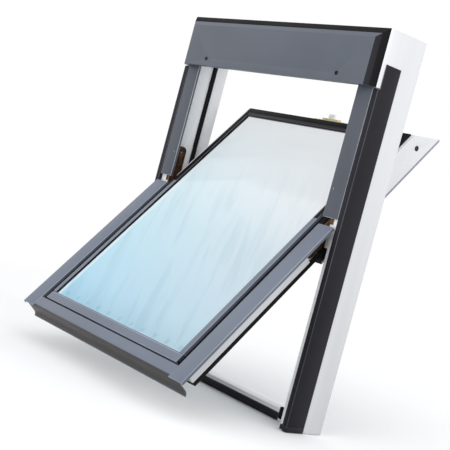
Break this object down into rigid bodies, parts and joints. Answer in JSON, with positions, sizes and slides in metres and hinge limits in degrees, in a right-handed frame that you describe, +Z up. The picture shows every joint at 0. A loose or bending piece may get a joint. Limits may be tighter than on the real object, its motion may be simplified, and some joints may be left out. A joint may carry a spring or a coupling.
{
  "type": "centre-pivot roof window",
  "caption": "Roof window with a white timber frame, grey metal hood and covers, and a double-glazed sash that turns about its middle on curved friction hinges.",
  "frame": {"origin": "on the underside of the sill, at mid width of the window and mid depth of the frame", "axes": "+X across the window to its right seen from outside, +Y into the room, +Z up the frame"},
  "size_m": [0.78, 0.6654, 0.978],
  "materials": {
    "white_timber": "smooth white lacquer, semi-gloss",
    "cover_metal": "grey powder coat on folded aluminium, satin",
    "dark_metal": "anthracite powder coat on extruded aluminium, satin",
    "black_rubber": "moulded rubber, matt",
    "dark_plastic": "moulded plastic, matt",
    "clear_glass": "polished float glass",
    "spacer_metal": "rolled spacer bar, satin",
    "bronze_steel": "bronze-passivated steel",
    "zinc_casting": "yellow-passivated zinc",
    "plain_steel": "zinc-plated steel",
    "bar_metal": "anodised, satin"
  },
  "bodies": {
    "frame": {"frame_left_jamb": "white_timber", "frame_right_jamb": "white_timber", "frame_head": "white_timber", "frame_sill": "white_timber", "top_hood": "cover_metal", "hood_edge_strip": "black_rubber", "hood_brackets": "plain_steel", "hood_screws": "dark_metal", "upper_left_cover": "cover_metal", "upper_right_cover": "cover_metal", "left_side_profile": "dark_metal", "right_side_profile": "dark_metal", "profile_end_caps": "dark_plastic", "upper_frame_seal": "black_rubber", "sill_cover": "dark_metal", "sill_corner_blocks": "black_rubber", "jamb_strips": "black_rubber", "left_frame_hinge": "bronze_steel", "right_frame_hinge": "bronze_steel", "frame_hinge_screws": "plain_steel", "striker": "plain_steel", "bolt_bush": "dark_plastic"},
    "sash": {"sash_left_stile": "white_timber", "sash_right_stile": "white_timber", "sash_top_rail": "white_timber", "sash_bottom_rail": "white_timber", "outer_pane": "clear_glass", "inner_pane": "clear_glass", "pane_spacer": "spacer_metal", "left_bead": "cover_metal", "right_bead": "cover_metal", "top_bead": "dark_metal", "bottom_bead": "cover_metal", "sash_trim": "black_rubber", "sash_left_cover": "cover_metal", "sash_right_cover": "cover_metal", "sash_bottom_cover": "cover_metal", "lower_sash_seal": "black_rubber", "left_sash_hinge": "bronze_steel", "right_sash_hinge": "bronze_steel", "sash_hinge_screws": "plain_steel", "latch_case": "zinc_casting", "bar_brackets": "dark_plastic"},
    "bar": {"control_bar": "bar_metal", "bar_end_caps": "dark_plastic"},
    "latch": {"latch_tongue": "plain_steel"},
    "bolt": {"barrel_bolt": "plain_steel"}
  },
  "joints": [
    {"name": "sash_pivot", "type": "hinge", "parent": "frame", "child": "sash", "pos_m": [0, -0.063, 0.503], "axis": [-1, 0, 0], "range_deg": [-38.2, 116.8]},
    {"name": "bar_pull", "type": "hinge", "parent": "sash", "child": "bar", "pos_m": [0, 0.26295, 0.7555], "axis": [1, 0, 0], "range_deg": [0, 40]},
    {"name": "latch_slide", "type": "slide", "parent": "sash", "child": "latch", "axis": [0, -0.1184, 0.993], "range_m": [-0.008, 0]},
    {"name": "bolt_slide", "type": "slide", "parent": "sash", "child": "bolt", "axis": [1, 0, 0], "range_m": [0, 0.009]}
  ],
  "couplings": [
    {"joint": "latch_slide", "follows": "bar_pull", "m_per_rad": -0.011458}
  ]
}
